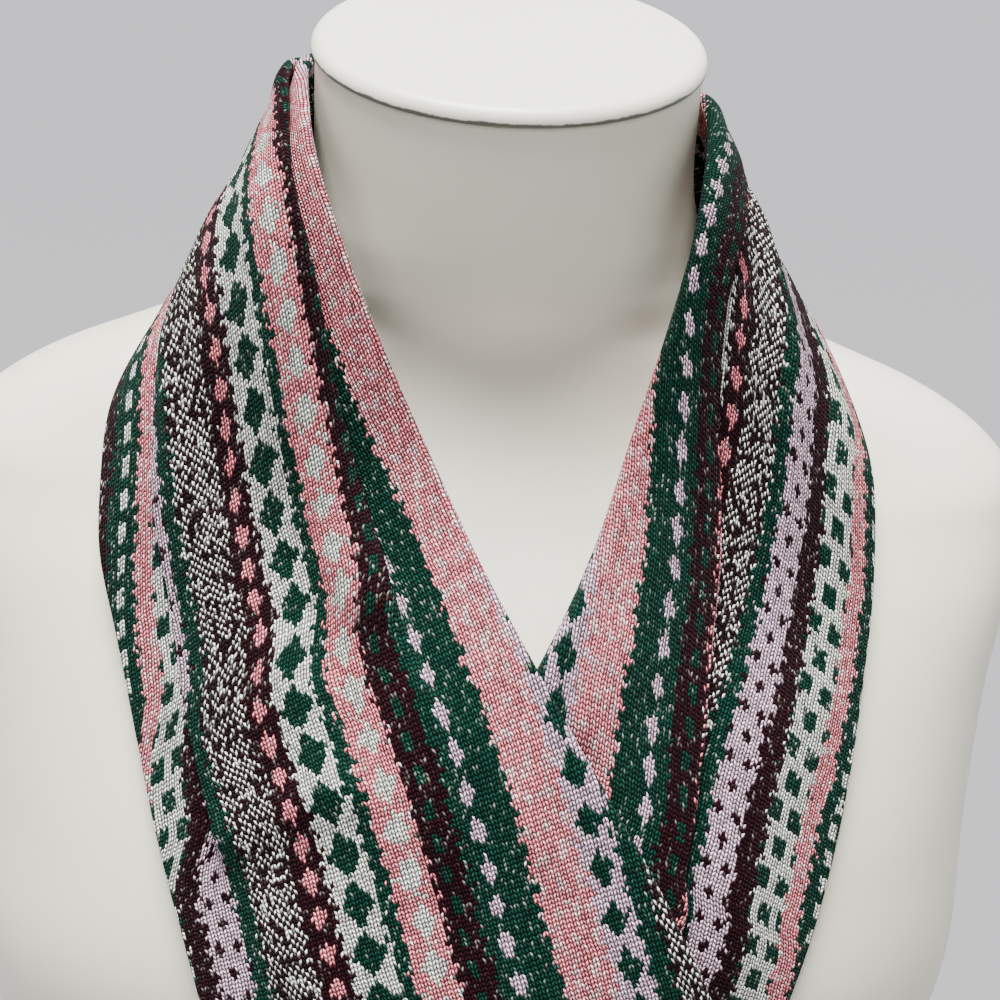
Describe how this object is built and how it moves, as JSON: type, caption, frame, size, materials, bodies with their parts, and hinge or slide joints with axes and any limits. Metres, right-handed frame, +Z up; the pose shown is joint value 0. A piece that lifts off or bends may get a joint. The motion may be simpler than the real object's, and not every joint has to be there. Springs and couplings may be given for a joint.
{
  "type": "fringed scarf on a limbless bust form",
  "caption": "Long knitted scarf with fringed ends, worn round the neck of a limbless bust form and crossed on the chest, with both tails hanging in front.",
  "frame": {"origin": "middle of the bust form's flat base", "axes": "+Z up along the form, the form faces -Y, and +X is to the right of someone who looks at its front"},
  "size_m": [0.34, 0.2497, 0.7363],
  "materials": {
    "form_white": "satin white",
    "scarf_knit": "fine knit in lengthwise bands of bottle green, maroon, salmon, pale pink, lilac, ivory and marl",
    "fringe_yarn": "loose twisted yarn in the bands' colours"
  },
  "bodies": {
    "root": {"bust_form": "form_white", "neck_cap": "form_white", "scarf_neck": "scarf_knit", "scarf_over_front": "scarf_knit", "scarf_under_front": "scarf_knit", "scarf_over_tail": "scarf_knit", "scarf_under_tail": "scarf_knit", "fringe_over": "fringe_yarn", "fringe_under": "fringe_yarn"}
  },
  "joints": []
}
